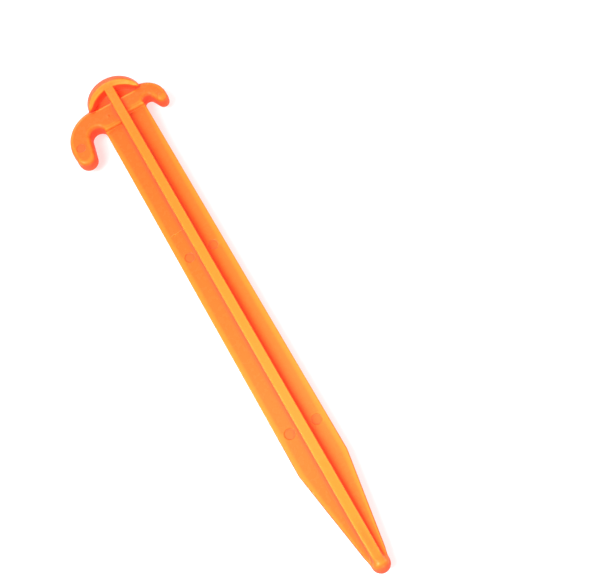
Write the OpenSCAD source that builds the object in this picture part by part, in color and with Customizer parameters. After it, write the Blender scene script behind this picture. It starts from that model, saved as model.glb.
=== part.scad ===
// Moulded plastic tent stake, lying on its back rib.
// The stake is one moulding. Each node is one region of it, and regions meet face to face.
// X runs across the stake, with the large hook on -X. Y runs along it, with the head on +Y.
// Z is up. The origin is on the back rib's face, halfway along the stake.

/* [Body] */
// Length from the top of the striking cap to the end of the nose
overall_length = 229; // [200:1:260]
// Width across both flanges
flange_width = 20; // [18:0.5:22]
// Thickness of the flanges
flange_thickness = 3; // [2:0.1:4]
// Depth over the front and back ribs
rib_depth = 12; // [10:0.5:14]
// Thickness of the ribs, side to side
rib_width = 4; // [3:0.1:5]

/* [Point] */
// Length of the tapered point, nose included
point_length = 43; // [30:1:60]
// Width and depth of the blunt nose
nose_width = 7; // [5:0.5:9]

/* [Head] */
// Radius of the half-round striking cap
cap_radius = 12; // [11:0.25:13]
// Radius of the arch that bounds the two pockets under the cap
pocket_radius = 12.3; // [11.5:0.1:13]
// Distance from the top of the cap to the top of that arch
rim_height = 7.4; // [6:0.1:8.5]
// Distance from the top of the cap to the raised yoke
yoke_start = 12.2; // [12:0.1:13]
// Thickness of the yoke and of both hooks
yoke_thickness = 7; // [6:0.1:8]
// Length of the yoke on the large hook's side
large_yoke_length = 11.3; // [10.5:0.1:13]
// Length of the yoke on the small hook's side
small_yoke_length = 8.3; // [8:0.1:9]

/* [Large hook] */
// Radius of the hook's outer curve
large_radius = 14.6; // [14:0.1:15.5]
// Radius of the round seat at the top of the gap
large_seat_radius = 3.2; // [2.8:0.1:3.4]
// Radius of the finger's rounded end
large_tip_radius = 4.1; // [3.6:0.1:4.4]

/* [Small hook] */
// Radius of the hook's outer curve
small_radius = 9.5; // [9:0.1:10]
// Radius of the round seat at the top of the gap
small_seat_radius = 1.9; // [1.6:0.1:2.1]
// Radius of the finger's rounded end
small_tip_radius = 2.6; // [2.3:0.1:2.8]

/* [Hidden] */
$fn = 96;
half_length = overall_length / 2;
half_width = flange_width / 2;
half_rib = rib_width / 2;
half_depth = rib_depth / 2;
nose_radius = nose_width / 2;

// Stations along the stake, as distances down from the top of the cap
rib_start = rim_height + 0.1;
large_yoke_end = yoke_start + large_yoke_length;
small_yoke_end = yoke_start + small_yoke_length;
shoulder = overall_length - point_length;
nose_centre = overall_length - nose_radius;

// Centres in the head, as [distance across, distance down from the top of the cap]
pocket_centre = [0, rim_height + pocket_radius];
large_centre = [-11.6, 26];
large_seat = [-half_width - large_seat_radius, 23.6];
large_tip = [-21.9, 29.8];
small_centre = [10.6, 20];
small_seat = [half_width + small_seat_radius, 20];
small_tip = [17.45, 21.2];

// Anything longer than the head, for cutting
reach = 60;

body_colour = "darkorange";
rib_colour = "orange";
head_colour = "orangered";
hook_colour = "tomato";
point_colour = "coral";

// Puts a shape drawn at [across, down] on the stake's middle plane
module place() {
    translate([0, half_length, half_depth]) children();
}

// Extrudes a flat shape to both sides of the middle plane
module plate(thickness) {
    translate([0, 0, -thickness / 2]) linear_extrude(thickness) children();
}

// A disc at a centre given as [across, down]
module disc(centre, radius) {
    translate([centre[0], -centre[1]]) circle(radius);
}

// A rectangle from one side to the other, between two distances down
module strip(x0, x1, top, bottom) {
    translate([x0, -bottom]) square([x1 - x0, bottom - top]);
}

// A polygon whose points are [across, down]
module outline(points) {
    polygon([for (p = points) [p[0], -p[1]]]);
}

// The space under the cap's arch, down to the yoke
module pocket_outline() {
    intersection() {
        disc(pocket_centre, pocket_radius);
        strip(-cap_radius, cap_radius, 0, yoke_start);
    }
}

// The cap seen from the front: a half disc with straight sides down to the yoke
module cap_outline() {
    intersection() {
        union() {
            disc([0, cap_radius], cap_radius);
            strip(-cap_radius, cap_radius, cap_radius, yoke_start);
        }
        strip(-cap_radius, cap_radius, 0, yoke_start);
    }
}

// The cap seen from the side: a full round top edge
module cap_side() {
    rotate([0, 90, 0]) translate([0, 0, -reach / 2]) linear_extrude(reach) union() {
        translate([0, -half_depth]) circle(half_depth);
        translate([-half_depth, -reach]) square([rib_depth, reach - half_depth]);
    }
}

module striking_cap() {
    color(head_colour) place() intersection() {
        plate(rib_depth) difference() {
            cap_outline();
            pocket_outline();
            strip(-half_rib, half_rib, rib_start, yoke_start + 1);
        }
        cap_side();
    }
}

// One thin web under the cap: side is -1 for left and 1 for right
module cap_web(side) {
    plate(flange_thickness) intersection() {
        pocket_outline();
        if (side < 0) strip(-cap_radius, -half_rib, 0, yoke_start);
        else strip(half_rib, cap_radius, 0, yoke_start);
    }
}

module left_cap_web() { color(body_colour) place() cap_web(-1); }

module right_cap_web() { color(body_colour) place() cap_web(1); }

module left_yoke() {
    color(head_colour) place() plate(yoke_thickness)
        strip(-half_width, -half_rib, yoke_start, large_yoke_end);
}

module right_yoke() {
    color(head_colour) place() plate(yoke_thickness)
        strip(half_rib, half_width, yoke_start, small_yoke_end);
}

// The gap between the large finger and the flange: a round seat that widens downwards
module large_gap() {
    inner = large_tip[0] + large_tip_radius;
    disc(large_seat, large_seat_radius);
    outline([
        [-half_width, large_seat[1]], [large_seat[0] - large_seat_radius, large_seat[1]],
        [inner, large_tip[1]], [inner, reach], [-half_width, reach]
    ]);
}

module large_hook() {
    color(hook_colour) place() plate(yoke_thickness) {
        difference() {
            disc(large_centre, large_radius);
            large_gap();
            strip(-half_width, reach, 0, reach);
            strip(-reach, reach, large_tip[1], reach);
            cap_outline();
            strip(-cap_radius, reach, 0, yoke_start);
        }
        disc(large_tip, large_tip_radius);
    }
}

// The gap between the small finger and the flange
module small_gap() {
    inner = small_tip[0] - small_tip_radius;
    disc(small_seat, small_seat_radius);
    outline([
        [half_width, small_seat[1]], [small_seat[0] + small_seat_radius, small_seat[1]],
        [inner, small_tip[1]], [inner, reach], [half_width, reach]
    ]);
}

module small_hook() {
    color(hook_colour) place() plate(yoke_thickness) {
        difference() {
            disc(small_centre, small_radius);
            small_gap();
            strip(-reach, half_width, 0, reach);
            strip(-reach, reach, small_tip[1], reach);
            cap_outline();
            strip(-reach, cap_radius, 0, yoke_start);
        }
        disc(small_tip, small_tip_radius);
    }
}

module left_flange() {
    color(body_colour) place() plate(flange_thickness)
        strip(-half_width, -half_rib, large_yoke_end, shoulder);
}

module right_flange() {
    color(body_colour) place() plate(flange_thickness)
        strip(half_rib, half_width, small_yoke_end, shoulder);
}

// One rib from the middle plane outwards: side is 1 for the front and -1 for the back
module rib(side) {
    translate([0, 0, side < 0 ? -half_depth : 0]) linear_extrude(half_depth)
        strip(-half_rib, half_rib, rib_start, shoulder);
}

module front_rib() { color(rib_colour) place() rib(1); }

module back_rib() { color(rib_colour) place() rib(-1); }

// Half of the point's outline, seen from the front or from the side
module taper(half_size) {
    outline([
        [-half_size, shoulder], [half_size, shoulder],
        [nose_radius, nose_centre], [-nose_radius, nose_centre]
    ]);
    disc([0, nose_centre], nose_radius);
}

module point() {
    color(point_colour) place() union() {
        plate(flange_thickness) taper(half_width);
        rotate([0, 90, 0]) plate(rib_width) taper(half_depth);
        translate([0, -nose_centre, 0]) sphere(nose_radius);
    }
}

striking_cap();
left_cap_web();
right_cap_web();
left_yoke();
right_yoke();
large_hook();
small_hook();
left_flange();
right_flange();
front_rib();
back_rib();
point();
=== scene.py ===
"""Moulded plastic tent stake, lying on its back rib on a plain white floor.

The stake is one moulding, so its surface is modelled as one continuous skin: a distance
function in millimetres, meshed on a grid. The skin is then divided into the regions that
the CAD model names, and each region becomes its own closed piece.

Places are given as u, d and w: u across the stake with the large hook on the negative
side, d down from the top of the striking cap, and w up from the middle plane.
"""

import math

import bpy
import numpy as np
from mathutils import Matrix, Vector


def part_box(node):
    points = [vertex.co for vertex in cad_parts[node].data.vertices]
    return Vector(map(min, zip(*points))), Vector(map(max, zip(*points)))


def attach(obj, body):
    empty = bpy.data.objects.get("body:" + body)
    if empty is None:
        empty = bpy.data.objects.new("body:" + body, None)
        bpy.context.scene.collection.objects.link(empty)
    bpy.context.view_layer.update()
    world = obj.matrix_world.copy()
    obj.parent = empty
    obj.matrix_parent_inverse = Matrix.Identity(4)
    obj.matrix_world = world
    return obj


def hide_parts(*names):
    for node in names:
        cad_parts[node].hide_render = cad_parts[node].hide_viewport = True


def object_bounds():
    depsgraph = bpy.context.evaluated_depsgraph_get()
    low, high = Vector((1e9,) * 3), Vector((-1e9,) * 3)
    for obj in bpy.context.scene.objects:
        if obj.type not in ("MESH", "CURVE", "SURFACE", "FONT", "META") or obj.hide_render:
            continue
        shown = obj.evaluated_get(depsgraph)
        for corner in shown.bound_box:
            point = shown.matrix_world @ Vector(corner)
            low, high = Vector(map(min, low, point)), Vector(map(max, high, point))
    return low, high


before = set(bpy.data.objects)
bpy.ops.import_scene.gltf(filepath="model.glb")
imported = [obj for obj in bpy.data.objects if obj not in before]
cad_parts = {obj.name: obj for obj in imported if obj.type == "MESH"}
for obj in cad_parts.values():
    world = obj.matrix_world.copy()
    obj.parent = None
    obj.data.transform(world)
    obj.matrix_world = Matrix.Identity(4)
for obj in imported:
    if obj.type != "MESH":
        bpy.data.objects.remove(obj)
cad_low, cad_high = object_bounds()

MM = 0.001


def extent(node):
    """Lowest and highest u, d and w of a CAD node, in millimetres."""
    low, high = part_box(node)
    middle = (cad_low.z + cad_high.z) / 2
    across = (low.x / MM, high.x / MM)
    down = ((cad_high.y - high.y) / MM, (cad_high.y - low.y) / MM)
    height = ((low.z - middle) / MM, (high.z - middle) / MM)
    return across, down, height


# ---------------------------------------------------------------- sizes from the frame
LENGTH = (cad_high.y - cad_low.y) / MM
HALF_DEPTH = extent("front_rib")[2][1]
HALF_RIB = extent("front_rib")[0][1]
HALF_WIDTH = extent("right_flange")[0][1]
HALF_FLANGE = extent("right_flange")[2][1]
HALF_YOKE = extent("left_yoke")[2][1]
SHOULDER = extent("point")[1][0]
YOKE_START = extent("left_yoke")[1][0]
LARGE_YOKE_END = extent("left_yoke")[1][1]
SMALL_YOKE_END = extent("right_yoke")[1][1]
CAP_RADIUS = extent("striking_cap")[0][1]

# ---------------------------------------------------------------- sizes of the looks, in mm
NOSE_RADIUS = 3.5
NOSE_CENTRE = LENGTH - NOSE_RADIUS

POCKET_RADIUS = 12.3
POCKET_CENTRE = 7.4 + POCKET_RADIUS
POCKET_DRAFT = 0.04
# The cap's outer curve moves down and shrinks a little from the middle plane to the rim
DOME_SHIFT = 5.0
DOME_INSET = 0.3
DOME_ROUND = 6.5
# The rim's front slopes down from its outer edge to the pockets, and the rib dips to meet it
RIM_SLOPE = 0.34
RIM_DROP = 0.5
RIM_EDGE = 0.3
CAP_END = 13.2
CAP_END_ROUND = 1.5

# Each hook: the side it is on, then [across, down] centres and radii of its outer curve,
# its seat and the end of its finger
LARGE = {
    "side": -1, "outer": (11.6, 26.0, 14.6), "seat": (13.2, 23.6, 3.2), "tip": (21.9, 29.8, 4.1),
    "yoke_end": LARGE_YOKE_END,
}
SMALL = {
    "side": 1, "outer": (10.6, 20.0, 9.5), "seat": (11.9, 20.0, 1.9), "tip": (17.45, 21.2, 2.6),
    "yoke_end": SMALL_YOKE_END,
}
HOOK_DRAFT = 0.07
YOKE_EDGE = 1.5
HOOK_EDGE = 1.6

RIB_DRAFT = 0.02
RIB_EDGE = 0.3
# The rib's edges grow rounder towards the nose
NOSE_ROUND = 0.6
RIB_TOP = 6.9
FLANGE_TOP = 7.0
FLANGE_DRAFT = 0.03
FLANGE_EDGE = 0.28
FOOT_FILLET = 0.2
NOSE_FILLET = 0.04
# The nose is a ball that the ribs and flanges run into: how far the ball swells and spreads
NOSE_SWELL = 0.2
NOSE_SPREAD = 0.35
NOSE_FLARE = 0.06
CORE_FILLET = 0.5
HEAD_FILLET = 0.5

# The colour paints light and shade by a depth at every point, standing in for the plastic's slight
# translucency and where light falls: how much plastic is around it, within these distances, and
# then the shifts below
SHADE_REACH = (1.0, 2.6)
# The plastic's colour against that depth, from light yellow-orange where painted lit to red where
# painted shaded
LIT_TO_SHADED_COLOURS = [
    (0.20, (1.0, 0.290, 0.034, 1.0)),
    (0.30, (1.0, 0.220, 0.026, 1.0)),
    (0.40, (1.0, 0.202, 0.024, 1.0)),
    (0.45, (0.98, 0.146, 0.022, 1.0)),
    (0.52, (0.98, 0.142, 0.023, 1.0)),
    (0.58, (0.98, 0.115, 0.027, 1.0)),
    (0.72, (0.98, 0.086, 0.032, 1.0)),
]
LEAST_DEPTH = 0.30
# Deeper, as painted shade: upright walls, the cap's outer side, the nose and the taper's edges;
# also deeper: the pin marks
WALL_SHADE = 0.30
WALL_SHADE_POWER = 1.2
BAND_SHADE = 0.13
NOSE_SHADE = 0.26
TAPER_SHADE = 0.38
PIN_DEPTH_SHIFT = 0.06
# Lighter, as painted light: the tops of the ribs and rim, and the flanges towards their outer
# edges; painted highlights: the yoke's rounded edges, the rim's crest and the insert's line
TOP_PAINTED_LIGHT = 0.055
LEDGE_HIGHLIGHT = 0.16
CREST_HIGHLIGHT = 0.14
FLANGE_PAINTED_LIGHT = 0.05
LINE_HIGHLIGHT = 0.15
# Flow streaks shift the depth by this much, and deep recesses take this colour as painted shade
STREAK_SHIFT = 0.01
RECESS_SHADE_COLOUR = (1.0, 0.160, 0.058, 1.0)

# Ejector pins' round marks on the front of the flanges and the large hook: (u, d, radius)
PIN_MARKS = [
    (-5.2, 91.2, 2.1), (5.2, 91.2, 2.1), (-5.3, 171.2, 2.1), (5.8, 171.4, 2.1), (-21.8, 25.7, 2.0),
]
PIN_DEPTH = 0.26
# The small raised pip on the large hook's side of the yoke: (u, d, radius)
PIP = (-6.0, 18.1, 0.9)
PIP_HEIGHT = 0.22
# The faint ridge that an insert in the mould leaves on the left flange
INSERT_ACROSS = (-7.7, -2.8)
INSERT_END = 79.6
RIDGE_HEIGHT = 0.34
RIDGE_WIDTH = 0.30


# ---------------------------------------------------------------- the stake as a distance
def disc(x, d, circle):
    """Distance from a disc given as (across, down, radius)."""
    return np.hypot(x - circle[0], d - circle[1]) - circle[2]


def both(a, b, radius):
    """The part inside both shapes, with its outer edge rounded."""
    inner = np.minimum(np.maximum(a, b) + radius, 0)
    return inner + np.hypot(np.maximum(a + radius, 0), np.maximum(b + radius, 0)) - radius


def either(a, b, radius):
    """The two shapes joined, with a fillet in the corner between them."""
    return -both(-a, -b, radius)


def step(x, start, end):
    """0 before start, 1 after end, and smooth between."""
    t = np.clip((x - start) / (end - start), 0, 1)
    return t * t * (3 - 2 * t)


def tapered(a, d, half):
    """Distance from an outline with parallel sides, a long taper and a round nose."""
    run = NOSE_CENTRE - SHOULDER
    angle = math.atan2(half, run) - math.asin(NOSE_RADIUS / math.hypot(half, run))
    a = np.abs(a)
    slant = (a - half) * math.cos(angle) + (d - SHOULDER) * math.sin(angle)
    past = (d - NOSE_CENTRE) * math.cos(angle) - a * math.sin(angle) > 0
    return np.where(past, np.hypot(a, d - NOSE_CENTRE) - NOSE_RADIUS, np.maximum(a - half, slant))


def hook_outline(u, d, hook):
    """One side of the yoke with its hook, seen from the front.

    The finger's inner side is the straight line that touches both its seat and its tip.
    """
    x = u * hook["side"]
    outer, seat, tip = hook["outer"], hook["seat"], hook["tip"]
    blank = np.minimum(disc(x, d, outer), np.maximum(x - outer[0], YOKE_START - d))
    blank = np.maximum(blank, np.minimum(YOKE_START - d, HALF_WIDTH - x))

    apart = math.hypot(tip[0] - seat[0], tip[1] - seat[1])
    lean = math.atan2(tip[1] - seat[1], tip[0] - seat[0]) + math.asin((seat[2] + tip[2]) / apart)
    along = (math.cos(lean), math.sin(lean))
    beyond = (x - seat[0]) * along[1] - (d - seat[1]) * along[0] - seat[2]
    touch = seat[1] - seat[2] * along[0]
    gap_top = np.where(x > HALF_WIDTH, seat[1], hook["yoke_end"])
    gap_top = np.where(x > seat[0], touch, gap_top)
    gap = np.minimum(np.maximum(beyond, gap_top - d), disc(x, d, seat))

    tilt = math.atan2(tip[1] - outer[1], tip[0] - outer[0])
    inner_end = (x - tip[0]) * along[0] + (d - tip[1]) * along[1]
    outer_end = (d - tip[1]) * math.cos(tilt) - (x - tip[0]) * math.sin(tilt)
    finger = np.maximum(np.maximum(blank, -gap), np.minimum(inner_end, outer_end))
    return np.minimum(finger, disc(x, d, tip))


def yoke_and_hooks(u, d, w):
    """The thick plate under the cap, with a hook on each side."""
    height = np.abs(w)
    outline = np.where(u < 0, hook_outline(u, d, LARGE), hook_outline(u, d, SMALL))
    edge = YOKE_EDGE + (HOOK_EDGE - YOKE_EDGE) * step(np.abs(u), HALF_WIDTH - 1, HALF_WIDTH + 3)
    return both(outline + HOOK_DRAFT * height, height - HALF_YOKE, edge)


def dome(height):
    """How far the cap's outer curve has moved in, from 0 at the middle plane to 1 at the rim."""
    full = 1 - math.sqrt(1 - (HALF_DEPTH / DOME_ROUND) ** 2)
    inside = np.sqrt(1 - (np.minimum(height, HALF_DEPTH) / DOME_ROUND) ** 2)
    rate = height / DOME_ROUND ** 2 / inside / full
    return (1 - inside) / full, rate


def cap(u, d, w):
    """The thick half-round striking cap, with its pockets open through it."""
    height = np.abs(w)
    moved, rate = dome(height)
    down = d - CAP_RADIUS - DOME_SHIFT * moved
    out = np.hypot(u, down)
    steepness = rate * (DOME_INSET - DOME_SHIFT * down / np.maximum(out, 0.1))
    side = (out - CAP_RADIUS + DOME_INSET * moved) / np.sqrt(1 + steepness ** 2)
    arch = np.hypot(u, d - POCKET_CENTRE) - POCKET_RADIUS
    crest = POCKET_CENTRE - POCKET_RADIUS - DOME_SHIFT - DOME_INSET
    rim = height - HALF_DEPTH + RIM_SLOPE * np.clip(crest - arch, 0, crest)
    solid = both(side, rim, RIM_EDGE)
    pocket = arch + POCKET_DRAFT * (HALF_DEPTH - height)
    return both(both(solid, -pocket, RIM_EDGE), d - CAP_END, CAP_END_ROUND)


def ribs(u, d, w):
    """The upright plate that stands out as the front and back ribs."""
    height = np.abs(w)
    half = HALF_RIB - RIB_DRAFT * (height - HALF_FLANGE)
    edge = RIB_EDGE + NOSE_ROUND * step(d, SHOULDER + 25, NOSE_CENTRE)
    dip = RIM_DROP * (1 - step(d, 6, 34))
    return np.maximum(both(tapered(w, d, HALF_DEPTH) + dip, np.abs(u) - half, edge), RIB_TOP - d)


def flanges(u, d, w):
    """The flat plate that the ribs cross, down to the nose."""
    height = np.abs(w)
    outline = tapered(u, d, HALF_WIDTH) + FLANGE_DRAFT * height
    return np.maximum(both(outline, height - HALF_FLANGE, FLANGE_EDGE), FLANGE_TOP - d)


def marks(u, d, w):
    """What the mould's pins and insert leave on the front, as a depth below the surface."""
    depth = 0
    for across, down, radius in PIN_MARKS:
        out = np.hypot(u - across, d - down)
        depth = depth + PIN_DEPTH * (1 - step(out, radius - 0.25, radius + 0.1))
    out = np.hypot(u - PIP[0], d - PIP[1])
    depth = depth - PIP_HEIGHT * (1 - step(out, PIP[2] - 0.7, PIP[2]))
    within = np.maximum(INSERT_ACROSS[0] - u, 0) + np.maximum(u - INSERT_ACROSS[1], 0)
    across = np.abs(d - INSERT_END) + within * 9
    ridge = 1 - step(across, 0, RIDGE_WIDTH)
    return (depth - RIDGE_HEIGHT * ridge) * step(w, HALF_FLANGE - 1, HALF_FLANGE - 0.5)


def nose(u, d, w):
    """The swelling inside the point's end, and the round shape that the end stays within."""
    before = NOSE_CENTRE - d
    out = np.hypot(u, w)
    ball = np.hypot(out, before) - NOSE_RADIUS
    core = np.where(before < 0, ball, out - NOSE_RADIUS + NOSE_SPREAD * before) - NOSE_SWELL
    limit = np.where(before < 0, ball, out - NOSE_RADIUS - NOSE_FLARE * before ** 2)
    return core, limit


def stake(u, d, w):
    """Distance from the whole stake's surface in millimetres, negative inside."""
    plates = either(flanges(u, d, w), yoke_and_hooks(u, d, w), 2 * FOOT_FILLET)
    upright = np.minimum(ribs(u, d, w), cap(u, d, w))
    fillet = HEAD_FILLET + (FOOT_FILLET - HEAD_FILLET) * step(d, 11, 14)
    fillet = fillet + (NOSE_FILLET - FOOT_FILLET) * step(d, SHOULDER + 15, NOSE_CENTRE)
    core, limit = nose(u, d, w)
    body = either(either(plates, upright, fillet), core, CORE_FILLET)
    return both(body, limit, RIM_EDGE) + marks(u, d, w)


def slope(points):
    """The direction in which the distance grows fastest, and the distance, at each point."""
    u, d, w = points.T
    small = 0.01
    across = stake(u + small, d, w) - stake(u - small, d, w)
    down = stake(u, d + small, w) - stake(u, d - small, w)
    up = stake(u, d, w + small) - stake(u, d, w - small)
    return np.stack([across, down, up], 1) / (2 * small), stake(u, d, w)


def surrounding(points):
    """How much plastic is around each point: low on edges and ribs, high in corners; it paints
    light and shade.
    """
    total = 0
    ways = [(i, j, k) for i in (-1, 0, 1) for j in (-1, 0, 1) for k in (-1, 0, 1)]
    ways = [np.array(way) / math.hypot(*way) for way in ways if sum(map(abs, way)) in (1, 3)]
    for reach in SHADE_REACH:
        for way in ways:
            u, d, w = (points + way * reach).T
            total = total + np.clip(0.5 - stake(u, d, w) / reach, 0, 1)
    return total / (len(ways) * len(SHADE_REACH))


def near_yoke_edge(u, d, height):
    """1 on the yoke's rounded upper and lower edges, between the flange's sides, 0 elsewhere."""
    yoke_end = np.where(u < 0, LARGE_YOKE_END, SMALL_YOKE_END)
    lower = step(1.0 - np.abs(d - yoke_end), 0, 0.3)
    lower = lower * step(height, HALF_FLANGE - 0.2, HALF_FLANGE + 0.1)
    upper = step(1.1 - np.abs(d - YOKE_START - 0.5), 0, 0.3)
    upper = upper * step(height, HALF_FLANGE + 0.5, HALF_YOKE - 0.5)
    below_ribs = 1 - step(height, HALF_YOKE + 0.3, HALF_YOKE + 0.5)
    return np.maximum(lower, upper) * step(HALF_WIDTH - np.abs(u), 0, 1) * below_ribs


def on_marks(u, d, w):
    """1 on the pin marks, and 1 on the insert's line, on the front; 0 elsewhere."""
    front = step(w, 0, 1)
    pins = 0
    for across, down, radius in PIN_MARKS:
        inside = 1 - step(np.hypot(u - across, d - down), radius - 0.4, radius)
        pins = pins + inside * front
    line = (1 - step(np.abs(d - INSERT_END), 0.2, 0.5)) * front
    line = line * step(u, INSERT_ACROSS[0] - 0.2, INSERT_ACROSS[0])
    return pins, line * (1 - step(u, INSERT_ACROSS[1], INSERT_ACROSS[1] + 0.2))


def painted_shade_depth(points, direction):
    """Painted light and shade at each point of the skin, which faces a direction, as how deep the
    plastic's colour looks.
    """
    u, d, w = points.T
    height = np.abs(w)
    wall = (1 - np.abs(direction[:, 2])) ** WALL_SHADE_POWER
    ledge = near_yoke_edge(u, d, height)
    pins, line = on_marks(u, d, w)
    top = step(height, HALF_YOKE + 0.5, HALF_DEPTH - 1)
    on_cap = 1 - step(d, YOKE_START - 0.5, YOKE_START + 1)
    past_rim = np.hypot(u, d - CAP_RADIUS - DOME_SHIFT) - CAP_RADIUS + DOME_INSET
    band = step(past_rim, 0, 0.4) * on_cap
    above_arch = step(np.hypot(u, d - POCKET_CENTRE) - POCKET_RADIUS, -0.3, 0.1)
    crest = (1 - step(past_rim, 0, 0.4)) * on_cap * top * above_arch
    nose_end = step(d, LENGTH - 3.5, LENGTH - 1)
    taper_edge = step(tapered(u, d, HALF_WIDTH), -0.5, -0.1) * step(d, SHOULDER - 30, SHOULDER)
    flange = step(np.abs(u), 5, 10) * (1 - step(height, HALF_FLANGE + 0.1, HALF_FLANGE + 0.5))
    flange = flange * step(d, LARGE_YOKE_END, LARGE_YOKE_END + 20)

    # Painted shade: deeper in corners, on upright walls, the cap's outer band, the nose's end and
    # the taper's edges; the pin marks deeper too
    depth = surrounding(points) + WALL_SHADE * wall * (1 - ledge) + BAND_SHADE * band
    depth = depth + NOSE_SHADE * nose_end + TAPER_SHADE * taper_edge + PIN_DEPTH_SHIFT * pins
    # Painted light on the tops of ribs and rim and the flanges' outer parts, then painted
    # highlights on the yoke's edges, the rim's crest and the insert's line
    depth = np.maximum(depth - TOP_PAINTED_LIGHT * top, LEAST_DEPTH)
    depth = np.maximum(depth - FLANGE_PAINTED_LIGHT * flange, LEAST_DEPTH)
    return depth - LEDGE_HIGHLIGHT * ledge - CREST_HIGHLIGHT * crest - LINE_HIGHLIGHT * line


# ---------------------------------------------------------------- meshing the distance
def lines(low, high, coarse, fine, places, reach):
    """Grid lines from low to high, closer together within reach of some places."""
    at = [low]
    while at[-1] < high:
        near = min(abs(at[-1] - place) for place in places) < reach
        at.append(at[-1] + (fine if near else coarse))
    return np.array(at)


# The grid's spacing in millimetres: on the head, along the shaft and at the nose, and the
# closer spacing near flat faces and marks
HEAD_STEP = 0.32
SHAFT_STEP = 0.7
NOSE_STEP = 0.3
UP_STEP = 0.3
ACROSS_FINE = 0.16
MARK_FINE = 0.25
UP_FINE = 0.15
HEAD_LENGTH = 36
NOSE_LENGTH = 6
# How far the grid reaches past the stake
MARGIN = 0.6


def grid():
    """The grid's lines across, down and up, offset a little so none lies on a flat face."""
    shy = 0.013
    edges = [-HALF_WIDTH, -HALF_RIB, HALF_RIB, HALF_WIDTH]
    across = lines(-27 + shy, 21.2, HEAD_STEP, ACROSS_FINE, edges, 0.6)
    head = lines(-MARGIN + shy, HEAD_LENGTH, HEAD_STEP, HEAD_STEP, [0], 1)
    seen = [INSERT_END, 91.2, 171.3]
    shaft = lines(head[-1], LENGTH + MARGIN, SHAFT_STEP, MARK_FINE, seen, 2.6)
    split = NOSE_CENTRE - NOSE_LENGTH
    nose = lines(split, LENGTH + MARGIN, NOSE_STEP, NOSE_STEP, [split], 1)
    down = np.concatenate([head, shaft[(shaft > head[-1]) & (shaft < split - 0.1)], nose])
    faces = [-HALF_DEPTH, -HALF_YOKE, -HALF_FLANGE, HALF_FLANGE, HALF_YOKE, HALF_DEPTH]
    up = lines(-HALF_DEPTH - 0.5 + shy, HALF_DEPTH + 0.5, UP_STEP, UP_FINE, faces, 0.45)
    return across, down, up


def skin():
    """Vertices, in mm as (u, d, w), and four-sided faces of the whole stake's surface."""
    axes = grid()
    across, down, up = axes
    values = np.empty((len(across), len(down), len(up)), dtype=np.float32)
    for first in range(0, len(down), 64):
        part = slice(first, first + 64)
        values[:, part] = stake(across[:, None, None], down[None, part, None], up[None, None, :])
    inside = values < 0
    corners = [(i, j, k) for i in (0, 1) for j in (0, 1) for k in (0, 1)]

    def corner(array, offset):
        """The array as seen from one corner of every cell."""
        return array[tuple(slice(o, n - 1 + o) for o, n in zip(offset, array.shape))]

    count = sum(corner(inside, offset).astype(np.int8) for offset in corners)
    cells = np.argwhere((count > 0) & (count < 8))
    number = np.full(count.shape, -1, dtype=np.int64)
    number[tuple(cells.T)] = np.arange(len(cells))

    total = np.zeros((len(cells), 3))
    hits = np.zeros(len(cells))
    for axis in range(3):
        for offset in corners:
            if offset[axis]:
                continue
            start = cells + offset
            end = start.copy()
            end[:, axis] += 1
            a = values[tuple(start.T)]
            b = values[tuple(end.T)]
            crossed = (a < 0) != (b < 0)
            share = np.where(crossed, a / np.where(crossed, a - b, 1), 0)
            place = np.stack([axes[n][start[:, n]] for n in range(3)], 1)
            place[:, axis] += share * (axes[axis][end[:, axis]] - axes[axis][start[:, axis]])
            total += place * crossed[:, None]
            hits += crossed
    points = total / hits[:, None]

    low = np.stack([axes[n][cells[:, n]] for n in range(3)], 1)
    high = np.stack([axes[n][cells[:, n] + 1] for n in range(3)], 1)
    for _ in range(4):
        direction, distance = slope(points)
        length = np.maximum((direction ** 2).sum(1), 0.25)
        points = points - direction * (distance / length)[:, None]
        points = np.clip(points, low - 0.05, high + 0.05)

    faces = []
    for axis in range(3):
        one, two = (axis + 1) % 3, (axis + 2) % 3
        start = [slice(None)] * 3
        end = [slice(None)] * 3
        start[axis] = slice(0, -1)
        end[axis] = slice(1, None)
        a, b = inside[tuple(start)], inside[tuple(end)]
        edges = np.argwhere(a != b)
        ring = []
        for back_one, back_two in ((0, 0), (1, 0), (1, 1), (0, 1)):
            cell = edges.copy()
            cell[:, one] -= back_one
            cell[:, two] -= back_two
            ring.append(number[tuple(cell.T)])
        quad = np.stack(ring, 1)
        outward = a[tuple(edges.T)]
        faces.append(np.where(outward[:, None], quad, quad[:, ::-1]))
    return points, np.concatenate(faces)


def to_metres(points):
    """Points given as (u, d, w) in millimetres, moved into the CAD model's frame."""
    middle = (cad_low.z + cad_high.z) / 2
    return np.stack([
        points[:, 0] * MM, cad_high.y - points[:, 1] * MM, middle + points[:, 2] * MM,
    ], 1)


def to_millimetres(points):
    """Points in the CAD model's frame, given as (u, d, w) in millimetres."""
    middle = (cad_low.z + cad_high.z) / 2
    return np.stack([
        points[:, 0] / MM, (cad_high.y - points[:, 1]) / MM, (points[:, 2] - middle) / MM,
    ], 1)


def mesh_object(name, vertices, faces):
    """An object with a new mesh, linked to the scene."""
    mesh = bpy.data.meshes.new(name)
    mesh.from_pydata(vertices, [], faces)
    mesh.update()
    piece = bpy.data.objects.new(name, mesh)
    bpy.context.collection.objects.link(piece)
    return piece


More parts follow.
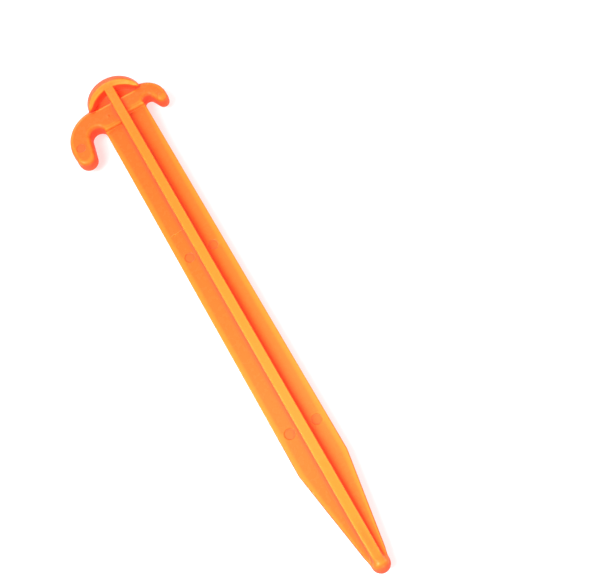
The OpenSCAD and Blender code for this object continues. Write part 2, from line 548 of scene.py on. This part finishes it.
# ---------------------------------------------------------------- dividing the skin
# Where the skin is cut: clear of the fillets, so that every cut crosses a plain stretch
RIB_CUT = HALF_RIB + 0.6
ARCH_CUT = POCKET_RADIUS - 0.9
WEB_END = YOKE_START - 0.8
HOOK_TOP = YOKE_START - 0.4
CAP_SIDE = CAP_RADIUS + 0.6
LARGE_CUT = LARGE["seat"][0] - 2.3
SMALL_CUT = SMALL["seat"][0] - 1.4
LARGE_YOKE_CUT = LARGE_YOKE_END + 0.9
SMALL_YOKE_CUT = SMALL_YOKE_END + 0.9
LARGE_SEAT_CUT = 22.5
SMALL_SEAT_CUT = 19.5
FLANGE_SIDE = 12
HOOKS_START = 5
HOOKS_END = 45
# Past everything across, and past everything above and below
FAR = 40
OVER = 8


def arch_points():
    """The cut along the pocket's arch, from its lower end to the rib, for the right side."""
    start = math.asin(RIB_CUT / ARCH_CUT)
    end = math.acos((POCKET_CENTRE - WEB_END) / ARCH_CUT)
    turns = [end + (start - end) * n / 12 for n in range(13)]
    return [(ARCH_CUT * math.sin(t), POCKET_CENTRE - ARCH_CUT * math.cos(t)) for t in turns]


def mirrored(points):
    """The same outline on the left side."""
    return [(-u, d) for u, d in points]


def regions():
    """The outline that bounds each piece, as (u, d) points, with its lowest and highest w."""
    arch = arch_points()
    web = arch + [(RIB_CUT, WEB_END)]
    cap_side = [(CAP_SIDE, -2), (CAP_SIDE, HOOK_TOP)]
    right_cap = cap_side + [(SMALL_CUT, HOOK_TOP), (SMALL_CUT, WEB_END)] + arch
    left_cap = mirrored(cap_side + [(LARGE_CUT, HOOK_TOP), (LARGE_CUT, WEB_END)] + arch)
    large = [
        (FAR, HOOKS_START), (CAP_SIDE, HOOKS_START), (CAP_SIDE, HOOK_TOP), (LARGE_CUT, HOOK_TOP),
        (LARGE_CUT, LARGE_SEAT_CUT), (FLANGE_SIDE, LARGE_YOKE_CUT), (FLANGE_SIDE, HOOKS_END),
        (FAR, HOOKS_END),
    ]
    small = [
        (FAR, HOOKS_START), (CAP_SIDE, HOOKS_START), (CAP_SIDE, HOOK_TOP), (SMALL_CUT, HOOK_TOP),
        (SMALL_CUT, SMALL_SEAT_CUT), (FLANGE_SIDE, SMALL_YOKE_CUT), (FLANGE_SIDE, HOOKS_END),
        (FAR, HOOKS_END),
    ]
    left_yoke = [
        (RIB_CUT, WEB_END), (LARGE_CUT, WEB_END), (LARGE_CUT, LARGE_SEAT_CUT),
        (FLANGE_SIDE, LARGE_YOKE_CUT), (RIB_CUT, LARGE_YOKE_CUT),
    ]
    right_yoke = [
        (RIB_CUT, WEB_END), (SMALL_CUT, WEB_END), (SMALL_CUT, SMALL_SEAT_CUT),
        (FLANGE_SIDE, SMALL_YOKE_CUT), (RIB_CUT, SMALL_YOKE_CUT),
    ]
    flange_end = [(FLANGE_SIDE, SHOULDER), (RIB_CUT, SHOULDER)]
    left_flange = [(RIB_CUT, LARGE_YOKE_CUT), (FLANGE_SIDE, LARGE_YOKE_CUT)] + flange_end
    right_flange = [(RIB_CUT, SMALL_YOKE_CUT), (FLANGE_SIDE, SMALL_YOKE_CUT)] + flange_end
    rib_top = arch[-1][1]
    rib = [(-RIB_CUT, rib_top), (RIB_CUT, rib_top), (RIB_CUT, SHOULDER), (-RIB_CUT, SHOULDER)]
    point = [(-FAR, SHOULDER), (FAR, SHOULDER), (FAR, LENGTH + 5), (-FAR, LENGTH + 5)]
    return {
        "striking_cap": (right_cap + left_cap[::-1], -OVER, OVER),
        "left_cap_web": (mirrored(web), -OVER, OVER),
        "right_cap_web": (web, -OVER, OVER),
        "left_yoke": (mirrored(left_yoke), -OVER, OVER),
        "right_yoke": (right_yoke, -OVER, OVER),
        "large_hook": (mirrored(large), -OVER, OVER),
        "small_hook": (small, -OVER, OVER),
        "left_flange": (mirrored(left_flange), -OVER, OVER),
        "right_flange": (right_flange, -OVER, OVER),
        "front_rib": (rib, 0, OVER),
        "back_rib": (rib, -OVER, 0),
        "point": (point, -OVER, OVER),
    }


def prism(outline, low, high):
    """A closed solid with the given outline, for cutting."""
    turning = sum(
        a[0] * b[1] - b[0] * a[1] for a, b in zip(outline, outline[1:] + outline[:1])
    )
    if turning > 0:
        outline = outline[::-1]
    count = len(outline)
    points = np.array([(u, d, w) for w in (low, high) for u, d in outline], dtype=float)
    faces = [tuple(range(count - 1, -1, -1)), tuple(range(count, 2 * count))]
    for n in range(count):
        after = (n + 1) % count
        faces.append((n, after, count + after, count + n))
    return mesh_object("cutter", to_metres(points), faces)


def cut_piece(whole, name, outline, low, high):
    """The part of the whole skin inside one region, as a closed mesh object."""
    cutter = prism(outline, low, high)
    trial = bpy.data.objects.new("trial", whole.data)
    bpy.context.collection.objects.link(trial)
    cut = trial.modifiers.new("cut", "BOOLEAN")
    cut.operation = "INTERSECT"
    cut.solver = "MANIFOLD"
    cut.object = cutter
    evaluated = trial.evaluated_get(bpy.context.evaluated_depsgraph_get())
    mesh = bpy.data.meshes.new_from_object(evaluated)
    mesh.name = name + "_skin"
    bpy.data.objects.remove(trial)
    bpy.data.objects.remove(cutter)
    piece = bpy.data.objects.new(name + "_skin", mesh)
    bpy.context.collection.objects.link(piece)
    return piece


def to_frame(direction):
    """Unit directions in the CAD model's frame, from directions across, down and up."""
    direction = direction * [1, -1, 1]
    return direction / np.maximum(np.linalg.norm(direction, axis=1), 1e-6)[:, None]


def smooth(mesh):
    """Shade the outer skin by the distance's own slope, so no cut shows, and cuts as flat."""
    vertices = np.empty(len(mesh.vertices) * 3)
    mesh.vertices.foreach_get("co", vertices)
    points = to_millimetres(vertices.reshape(-1, 3))
    direction = to_frame(slope(points)[0])

    normals = np.empty(len(mesh.polygons) * 3)
    mesh.polygons.foreach_get("normal", normals)
    normals = normals.reshape(-1, 3)
    centres = np.empty(len(mesh.polygons) * 3)
    mesh.polygons.foreach_get("center", centres)
    outward, distance = slope(to_millimetres(centres.reshape(-1, 3)))
    along = (to_frame(outward) * normals).sum(1)
    on_skin = (along > 0.6) & (np.abs(distance) < 0.15)

    corners = np.empty(len(mesh.loops), dtype=np.int32)
    mesh.loops.foreach_get("vertex_index", corners)
    sizes = np.empty(len(mesh.polygons), dtype=np.int32)
    mesh.polygons.foreach_get("loop_total", sizes)
    owner = np.repeat(np.arange(len(mesh.polygons)), sizes)
    shading = np.where(on_skin[owner][:, None], direction[corners], normals[owner])
    # The colour's painted light and shade, as a depth on every vertex
    around = mesh.attributes.new("around", "FLOAT", "POINT")
    around.data.foreach_set("value", painted_shade_depth(points, direction).astype(np.float32))
    mesh.shade_smooth()
    mesh.normals_split_custom_set(shading.tolist())


# ---------------------------------------------------------------- the plastic
class Graph:
    """Short ways to add the few kinds of node that the plastic needs."""

    def __init__(self, material):
        self.nodes = material.node_tree.nodes
        self.link = material.node_tree.links.new

    def noise(self, vector, scale, detail, roughness=0.5):
        node = self.nodes.new("ShaderNodeTexNoise")
        node.inputs["Scale"].default_value = scale
        node.inputs["Detail"].default_value = detail
        node.inputs["Roughness"].default_value = roughness
        self.link(vector, node.inputs["Vector"])
        return node.outputs["Fac"]

    def remap(self, value, start, end, low, high):
        node = self.nodes.new("ShaderNodeMapRange")
        node.inputs["From Min"].default_value = start
        node.inputs["From Max"].default_value = end
        node.inputs["To Min"].default_value = low
        node.inputs["To Max"].default_value = high
        self.link(value, node.inputs["Value"])
        return node.outputs["Result"]

    def add(self, one, two):
        node = self.nodes.new("ShaderNodeMath")
        node.operation = "ADD"
        self.link(one, node.inputs[0])
        self.link(two, node.inputs[1])
        return node.outputs["Value"]

    def bump(self, height, strength, distance):
        node = self.nodes.new("ShaderNodeBump")
        node.inputs["Strength"].default_value = strength
        node.inputs["Distance"].default_value = distance
        self.link(height, node.inputs["Height"])
        return node


def orange_plastic():
    """Glossy injection-moulded plastic: fine grain, slight flow streaks, handling wear, and
    painted light and shade.
    """
    material = bpy.data.materials.new("orange_plastic_skin")
    material.use_nodes = True
    graph = Graph(material)
    nodes, link = graph.nodes, graph.link
    shader = nodes["Principled BSDF"]
    shader.inputs["Metallic"].default_value = 0.0
    shader.inputs["IOR"].default_value = 1.49
    shader.inputs["Specular IOR Level"].default_value = 0.32
    shader.inputs["Specular Tint"].default_value = (1.0, 0.66, 0.36, 1.0)

    place = nodes.new("ShaderNodeTexCoord").outputs["Object"]
    mapping = nodes.new("ShaderNodeMapping")
    mapping.inputs["Scale"].default_value = (1.0, 0.25, 1.0)
    link(place, mapping.inputs["Vector"])
    along = mapping.outputs["Vector"]

    # Painted light and shade: thin edges and ribs glow lighter, and corners deeper, standing in
    # for light spreading inside the plastic
    around = nodes.new("ShaderNodeAttribute")
    around.attribute_name = "around"
    streaks = graph.noise(along, 160.0, 5.0, 0.55)
    shift = graph.remap(streaks, 0.25, 0.75, -STREAK_SHIFT, STREAK_SHIFT)
    colour = nodes.new("ShaderNodeValToRGB")
    stops = colour.color_ramp.elements
    stops[0].position, stops[0].color = LIT_TO_SHADED_COLOURS[0]
    stops[1].position, stops[1].color = LIT_TO_SHADED_COLOURS[-1]
    for position, shade in LIT_TO_SHADED_COLOURS[1:-1]:
        stops.new(position).color = shade
    link(graph.add(around.outputs["Fac"], shift), colour.inputs["Fac"])

    # Painted shade: deep recesses, found by ambient occlusion, turn redder, standing in for light
    # bounced about in them
    recess_shade = nodes.new("ShaderNodeAmbientOcclusion")
    recess_shade.samples = 12
    recess_shade.inputs["Distance"].default_value = 0.008
    blend = nodes.new("ShaderNodeMix")
    blend.data_type = "RGBA"
    blend.inputs["A"].default_value = RECESS_SHADE_COLOUR
    link(graph.remap(recess_shade.outputs["AO"], 0.08, 0.58, 0.0, 1.0), blend.inputs["Factor"])
    link(colour.outputs["Color"], blend.inputs["B"])
    link(blend.outputs["Result"], shader.inputs["Base Color"])

    # The upright walls are duller than the faces and edges
    wear = graph.remap(graph.noise(place, 420.0, 6.0), 0.3, 0.7, 0.25, 0.29)
    dulling = graph.remap(around.outputs["Fac"], 0.54, 0.66, 0.0, 0.35)
    link(graph.add(wear, dulling), shader.inputs["Roughness"])

    grain = graph.bump(graph.noise(place, 2600.0, 3.0), 0.06, 0.00006)
    ripple = graph.bump(graph.noise(along, 260.0, 2.0), 0.08, 0.00012)
    link(grain.outputs["Normal"], ripple.inputs["Normal"])
    link(ripple.outputs["Normal"], shader.inputs["Normal"])
    return material


# ---------------------------------------------------------------- the stage
def floor():
    """A wide plain white floor under the stake."""
    half = 3.0
    level = cad_low.z
    corners = [
        (-half, -half, level), (half, -half, level), (half, half, level), (-half, half, level),
    ]
    stage = mesh_object("floor", corners, [(0, 1, 2, 3)])
    material = bpy.data.materials.new("white_floor")
    material.use_nodes = True
    shader = material.node_tree.nodes["Principled BSDF"]
    shader.inputs["Base Color"].default_value = (0.52, 0.52, 0.52, 1.0)
    shader.inputs["Roughness"].default_value = 0.9
    shader.inputs["Emission Color"].default_value = (1.0, 1.0, 1.0, 1.0)
    shader.inputs["Emission Strength"].default_value = 0.55
    shader.inputs["Specular IOR Level"].default_value = 0.1
    stage.data.materials.append(material)


def look_at(thing, place, aim, up):
    """Put a camera or light at a place, facing a point, with its own up near the one given."""
    back = (Vector(place) - Vector(aim)).normalized()
    right = Vector(up).cross(back).normalized()
    turn = Matrix((right, back.cross(right), back)).transposed()
    thing.matrix_world = Matrix.Translation(place) @ turn.to_4x4()


# Name, place, the point it aims at, size, power in watts and spread in degrees
LIGHTS = [
    ("key", (-0.24, -0.02, 0.40), (0, -0.08, 0), 0.30, 0.88, 75),
    ("overhead", (0.03, 0.10, 0.70), (0, 0.1, 0), 0.12, 0.22, 180),
    ("right_fill", (0.62, -0.15, 0.22), (0, -0.03, 0), 0.30, 2.0, 180),
    ("head_rim", (-0.05, 0.60, 0.32), (0, 0.1, 0), 0.30, 1.5, 180),
    ("front_fill", (0.05, -0.50, 0.30), (0, 0.09, 0), 0.20, 0.9, 180),
]


def soft_light(name, place, aim, size, power, spread):
    """A square area light, with its spread in degrees."""
    light = bpy.data.lights.new(name, "AREA")
    light.shape = "SQUARE"
    light.size = size
    light.energy = power
    light.spread = math.radians(spread)
    lamp = bpy.data.objects.new(name, light)
    bpy.context.collection.objects.link(lamp)
    look_at(lamp, place, aim, (0, 1, 0.2))


def studio():
    """An even white surround, and the lights."""
    world = bpy.data.worlds.new("studio")
    world.use_nodes = True
    background = world.node_tree.nodes["Background"]
    background.inputs["Color"].default_value = (1.0, 1.0, 1.0, 1.0)
    background.inputs["Strength"].default_value = 0.27
    bpy.context.scene.world = world
    bpy.context.scene.view_settings.view_transform = "Standard"
    for light in LIGHTS:
        soft_light(*light)


def camera():
    """The camera that looks down at the stake from over its point."""
    view = bpy.data.cameras.new("camera")
    view.sensor_width = 36.0
    view.lens = 54.0
    view.clip_start = 0.01
    seer = bpy.data.objects.new("camera", view)
    bpy.context.collection.objects.link(seer)
    place = (-0.0051, -0.1227, 0.3293)
    aim = (0.0246, -0.0111, 0.006)
    look_at(seer, place, aim, (0.491, 0.808, 0.324))
    bpy.context.scene.camera = seer


# ---------------------------------------------------------------- putting it together
def build():
    """Mesh the stake once and divide it into its pieces, all on the root body."""
    points, faces = skin()
    whole = mesh_object("whole", to_metres(points), faces[:, ::-1])
    plastic = orange_plastic()
    for name, (outline, low, high) in regions().items():
        piece = cut_piece(whole, name, outline, low, high)
        piece.data.materials.clear()
        piece.data.materials.append(plastic)
        smooth(piece.data)
        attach(piece, "root")
        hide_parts(name)
    bpy.data.objects.remove(whole)


build()
floor()
studio()
camera()
